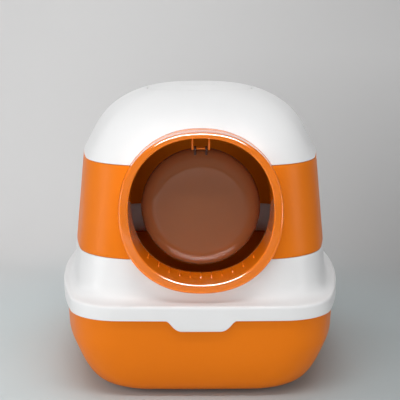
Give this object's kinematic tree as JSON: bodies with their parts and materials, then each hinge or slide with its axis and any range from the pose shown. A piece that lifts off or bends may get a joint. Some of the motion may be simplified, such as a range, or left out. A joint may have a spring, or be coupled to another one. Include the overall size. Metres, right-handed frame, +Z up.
{
  "type": "hooded cat litter box",
  "caption": "Hooded cat litter box: tapered tray, three-shell dome hood that lifts off, round raised doorway with a hanging see-through flap, and a filter lid on top.",
  "frame": {"origin": "centre of the overall box, on the floor under the feet", "axes": "+Z up, +X to the right seen from the doorway, the doorway faces -Y"},
  "size_m": [0.402, 0.496, 0.405],
  "materials": {
    "orange_shell": "satin moulded orange plastic",
    "orange_gloss": "glossy orange plastic",
    "white_shell": "satin moulded white plastic",
    "white_inner": "plain white plastic",
    "smoked": "see-through smoked brown plastic",
    "rubber": "matt",
    "charcoal": "charcoal felt"
  },
  "bodies": {
    "tray": {"tray": "orange_shell", "foot_front_left": "rubber", "foot_front_right": "rubber", "foot_rear_left": "rubber", "foot_rear_right": "rubber"},
    "hood": {"lower_hood": "white_shell", "hood_band": "orange_shell", "hood_dome": "white_shell", "entry_ring": "orange_gloss", "inner_ring": "orange_gloss", "hinge_bracket": "orange_gloss", "filter_seat": "white_inner", "seam_clip_low_front_left": "white_inner", "seam_clip_low_front_right": "white_inner", "seam_clip_low_rear_left": "white_inner", "seam_clip_low_rear_right": "white_inner", "seam_clip_high_front_left": "white_inner", "seam_clip_high_front_right": "white_inner", "seam_clip_high_rear_left": "white_inner", "seam_clip_high_rear_right": "white_inner"},
    "flap": {"flap_panel": "smoked"},
    "filter_lid": {"filter_lid": "white_shell", "filter_pad": "charcoal", "filter_grille": "white_inner"}
  },
  "joints": [
    {"name": "hood_lift", "type": "slide", "parent": "tray", "child": "hood", "axis": [0, 0, 1], "range_m": [0, 0.16]},
    {"name": "flap_swing", "type": "hinge", "parent": "hood", "child": "flap", "pos_m": [0, -0.178, 0.3325], "axis": [1, 0, 0], "range_deg": [-70, 50]},
    {"name": "filter_lid_lift", "type": "slide", "parent": "hood", "child": "filter_lid", "axis": [0, 0, 1], "range_m": [0, 0.06]}
  ]
}
